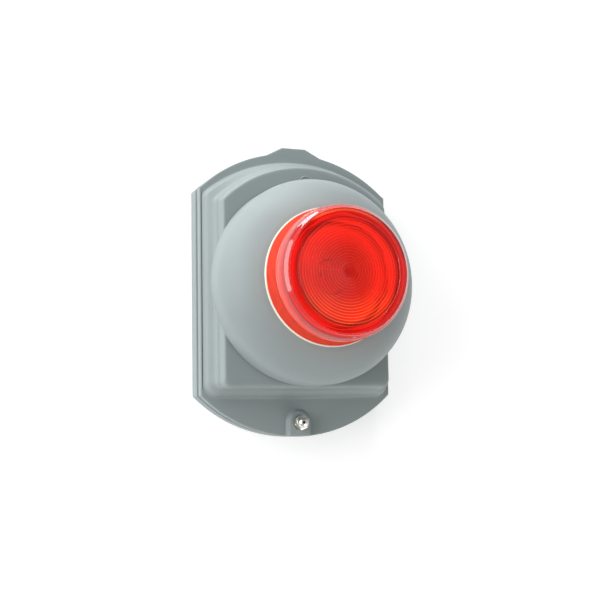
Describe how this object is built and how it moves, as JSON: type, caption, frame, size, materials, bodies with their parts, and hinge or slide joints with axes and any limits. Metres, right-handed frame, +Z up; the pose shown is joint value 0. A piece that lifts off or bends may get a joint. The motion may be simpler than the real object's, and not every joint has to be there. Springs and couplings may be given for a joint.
{
  "type": "horn strobe",
  "caption": "Wall-mounted fire alarm horn strobe: hinged cover with a round sound dome and a red strobe lens on a deep back plate.",
  "frame": {"origin": "centre of the four mounting holes on the wall face, on the dome's axis", "axes": "+Z up the wall, +Y into the wall, -Y out of the wall towards the strobe lens, +X to the right seen from the front"},
  "size_m": [0.15, 0.122, 0.2183],
  "materials": {
    "shell_grey": "fine moulded texture, satin",
    "steel": "zinc-plated, satin",
    "nut_chrome": "bright plated",
    "rubber_black": "matte",
    "board_green": "solder-mask satin",
    "terminal_green": "satin",
    "winding_amber": "taped winding, satin",
    "capacitor_blue": "shrink sleeve, glossy",
    "plastic_black": "satin",
    "plastic_white": "satin",
    "switch_red": "satin",
    "trimmer_blue": "satin",
    "driver_paint": "semi-gloss",
    "ferrite": "ground, dull",
    "diaphragm_film": "formed film",
    "copper": "enamelled winding",
    "horn_grey": "satin",
    "ring_cream": "satin",
    "tube_glass": "clear",
    "reflector_bright": "metallised",
    "lens_red": "clear-moulded translucent red, glossy"
  },
  "bodies": {
    "base": {"back_plate": "shell_grey", "hinge_bar": "steel", "cable_grommet": "rubber_black", "cover_stud": "steel", "stud_nut": "steel", "main_board": "board_green", "board_screws": "steel", "terminal_block": "terminal_green", "terminal_screws": "steel", "transformer": "winding_amber", "flash_capacitor": "capacitor_blue", "board_capacitors": "capacitor_blue", "controller_chip": "plastic_black", "candela_switch": "switch_red", "trimmer_body": "trimmer_blue", "tamper_switch": "plastic_black"},
    "candela_selector": {"candela_slider": "plastic_white"},
    "volume_trimmer": {"trimmer_rotor": "plastic_white"},
    "tamper_pin": {"tamper_plunger": "plastic_white"},
    "cover": {"cover_shell": "shell_grey", "cover_seal": "rubber_black", "driver_frame": "driver_paint", "driver_top_plate": "steel", "driver_magnet": "ferrite", "driver_yoke": "steel", "driver_screws": "steel", "horn_flare": "horn_grey", "sound_dome": "shell_grey", "dome_screws": "steel", "strobe_base": "ring_cream", "strobe_gasket": "rubber_black", "strobe_screws": "steel", "strobe_board": "board_green", "strobe_board_screws": "steel", "trigger_coil": "copper", "tube_base": "plastic_white", "flash_tube": "tube_glass", "reflector": "reflector_bright", "strobe_lens": "lens_red"},
    "diaphragm_unit": {"diaphragm": "diaphragm_film", "voice_coil": "copper"},
    "washer": {"nut_washer": "steel"},
    "nut": {"cap_nut": "nut_chrome"}
  },
  "joints": [
    {"name": "cover_swing", "type": "hinge", "parent": "base", "child": "cover", "pos_m": [0, -0.0185, 0.103], "axis": [-1, 0, 0], "range_deg": [0, 60]},
    {"name": "tamper_press", "type": "slide", "parent": "base", "child": "tamper_pin", "axis": [0, -1, 0], "range_m": [0, 0.003], "stiffness_N_per_m": 50, "springref_m": 0.003},
    {"name": "candela_slide", "type": "slide", "parent": "base", "child": "candela_selector", "axis": [1, 0, 0], "range_m": [-0.004, 0.004]},
    {"name": "volume_turn", "type": "hinge", "parent": "base", "child": "volume_trimmer", "pos_m": [0.016, -0.013, 0.043], "axis": [0, -1, 0], "range_deg": [-135, 135]},
    {"name": "diaphragm_travel", "type": "slide", "parent": "cover", "child": "diaphragm_unit", "axis": [0, -1, 0], "range_m": [-0.0004, 0.0004], "stiffness_N_per_m": 2000},
    {"name": "nut_travel", "type": "slide", "parent": "cover", "child": "washer", "axis": [0, -1, 0], "range_m": [0, 0.008]},
    {"name": "nut_turn", "type": "hinge", "parent": "washer", "child": "nut", "pos_m": [0, -0.03, -0.1002], "axis": [0, -1, 0], "range_deg": [0, 2880]}
  ],
  "couplings": [
    {"joint": "tamper_press", "follows": "cover_swing", "m_per_rad": 0.00286},
    {"joint": "nut_turn", "follows": "nut_travel", "rad_per_m": 6283.2}
  ]
}
